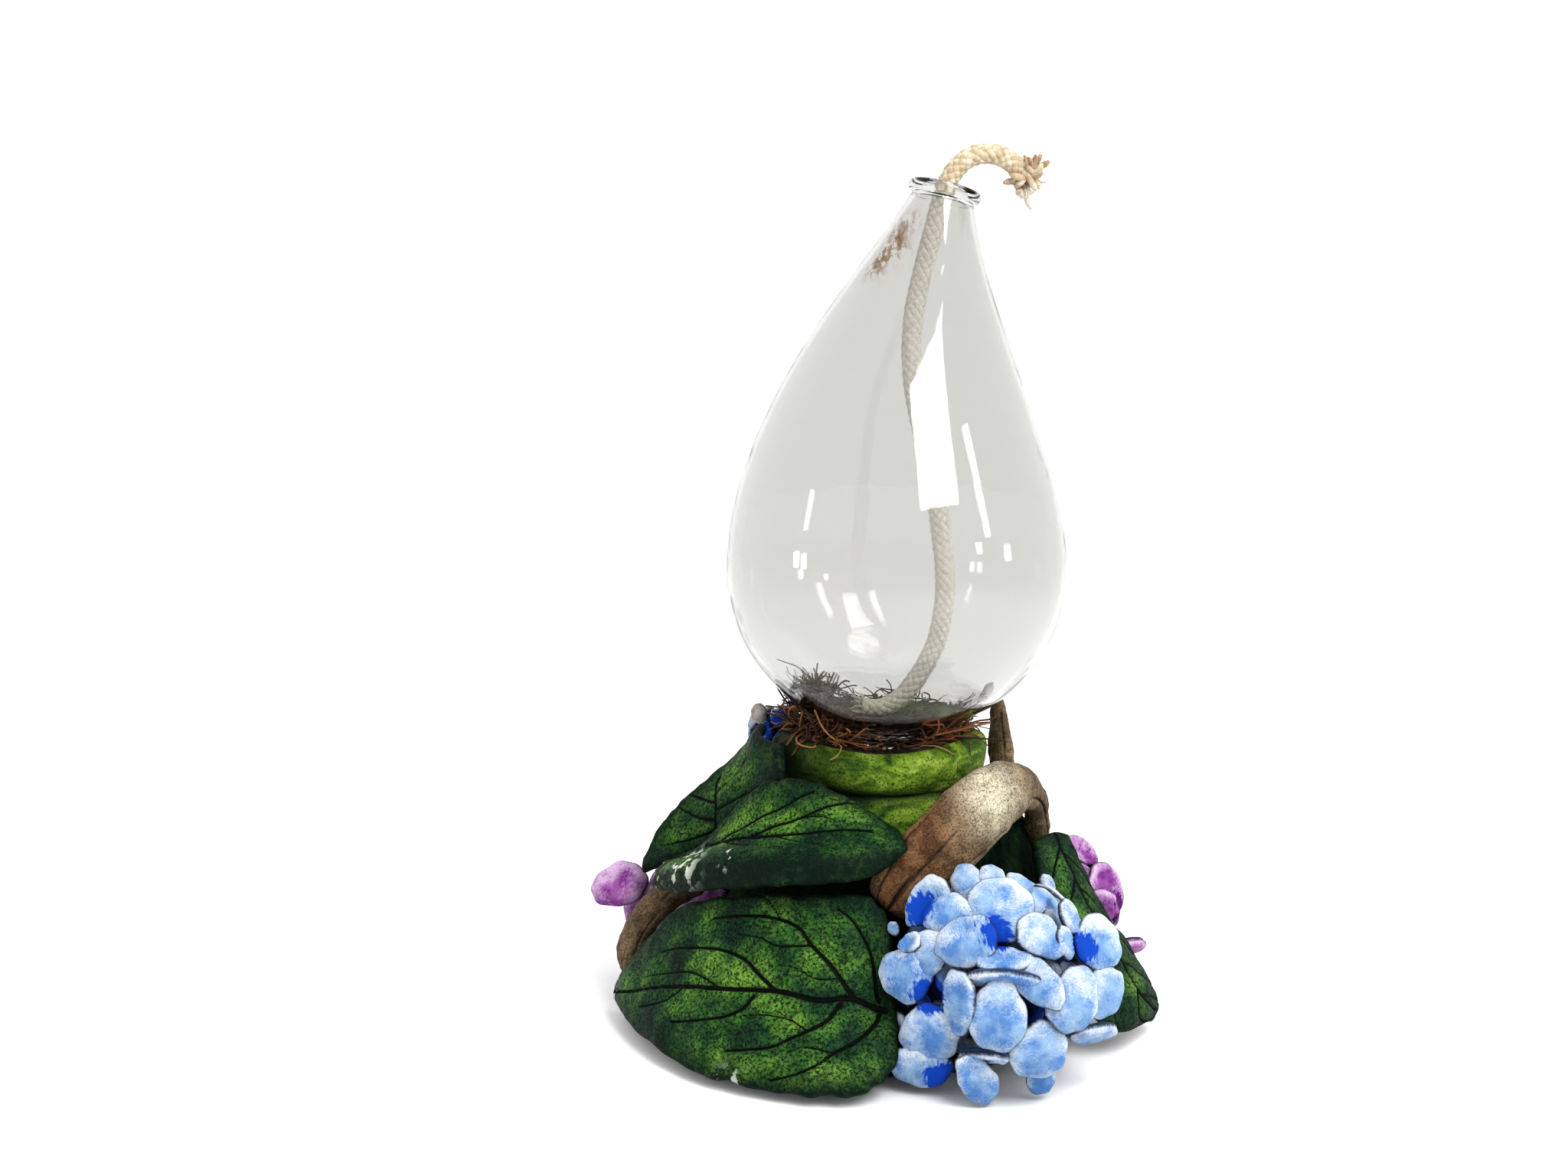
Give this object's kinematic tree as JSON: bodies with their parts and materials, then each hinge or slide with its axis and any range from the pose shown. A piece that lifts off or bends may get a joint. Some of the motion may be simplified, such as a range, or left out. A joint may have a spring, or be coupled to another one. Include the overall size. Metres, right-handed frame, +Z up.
{
  "type": "wick oil lamp",
  "caption": "Teardrop blown-glass oil lamp with a rope wick, standing in a moss-lined collar on a hand-modelled clay base of hydrangea leaves, blooms and branches.",
  "frame": {"origin": "on the underside of the base, under the middle of the object", "axes": "+Z up, +X to the object's right as seen from its front, +Y from the front to the back"},
  "size_m": [0.17, 0.1586, 0.2523],
  "materials": {
    "clear_glass": "clear blown glass, smooth, very slightly grey",
    "cotton_wick": "round braided cotton, cream, tan outside the font",
    "scorched_cotton": "unravelled, scorched tan to brown",
    "moss_green_clay": "matte painted clay, mottled yellow-green over dark green",
    "leaf_clay": "matte painted clay, near-black recessed veins, dry-brushed green",
    "bark_clay": "matte painted clay, speckled tan and brown, cream patch",
    "dark_clay": "matte dark green to black clay",
    "coir_moss": "loose rust-brown coir and moss fibre",
    "blue_clay": "matte painted clay, white dry-brush over sky blue, deep blue centres",
    "violet_clay": "matte painted clay, violet with pale rims",
    "pale_clay": "matte painted clay, pale grey-pink"
  },
  "bodies": {
    "base": {"base_slab": "dark_clay", "clay_core": "dark_clay", "clay_fold": "moss_green_clay", "clay_collar": "moss_green_clay", "moss_nest": "coir_moss", "leaf_front": "leaf_clay", "leaf_middle": "leaf_clay", "leaf_left": "leaf_clay", "leaf_right": "leaf_clay", "leaf_back_right": "leaf_clay", "leaf_back_left": "leaf_clay", "leaf_back_upper": "leaf_clay", "leaf_side_left": "leaf_clay", "branch_arch": "bark_clay", "branch_upright": "bark_clay", "root_left": "bark_clay", "root_back": "bark_clay", "blue_head_core": "dark_clay", "blue_petal_01": "blue_clay", "blue_petal_02": "blue_clay", "blue_petal_03": "blue_clay", "blue_petal_04": "blue_clay", "blue_petal_05": "blue_clay", "blue_petal_06": "blue_clay", "blue_petal_07": "blue_clay", "blue_petal_08": "blue_clay", "blue_petal_09": "blue_clay", "blue_petal_10": "blue_clay", "blue_petal_11": "blue_clay", "blue_petal_12": "blue_clay", "blue_petal_13": "blue_clay", "blue_petal_14": "blue_clay", "blue_petal_15": "blue_clay", "blue_petal_16": "blue_clay", "blue_petal_17": "blue_clay", "blue_petal_18": "blue_clay", "blue_petal_19": "blue_clay", "blue_petal_20": "blue_clay", "blue_petal_21": "blue_clay", "blue_petal_22": "blue_clay", "blue_petal_23": "blue_clay", "blue_petal_24": "blue_clay", "blue_petal_25": "blue_clay", "blue_petal_26": "blue_clay", "blue_petal_27": "blue_clay", "blue_petal_28": "blue_clay", "violet_head_right": "violet_clay", "violet_right_petal_01": "violet_clay", "violet_right_petal_02": "violet_clay", "violet_right_petal_03": "violet_clay", "violet_head_left": "violet_clay", "violet_left_petal_01": "violet_clay", "bud_cluster": "blue_clay", "pale_bud": "pale_clay"},
    "font": {"font_glass": "clear_glass"},
    "wick": {"wick": "cotton_wick", "wick_frayed_end": "scorched_cotton"}
  },
  "joints": [
    {"name": "font_lift", "type": "slide", "parent": "base", "child": "font", "axis": [0, 0, 1], "range_m": [0, 0.08]},
    {"name": "wick_raise", "type": "slide", "parent": "font", "child": "wick", "axis": [0.2408, 0, 0.9706], "range_m": [0, 0.008]}
  ]
}
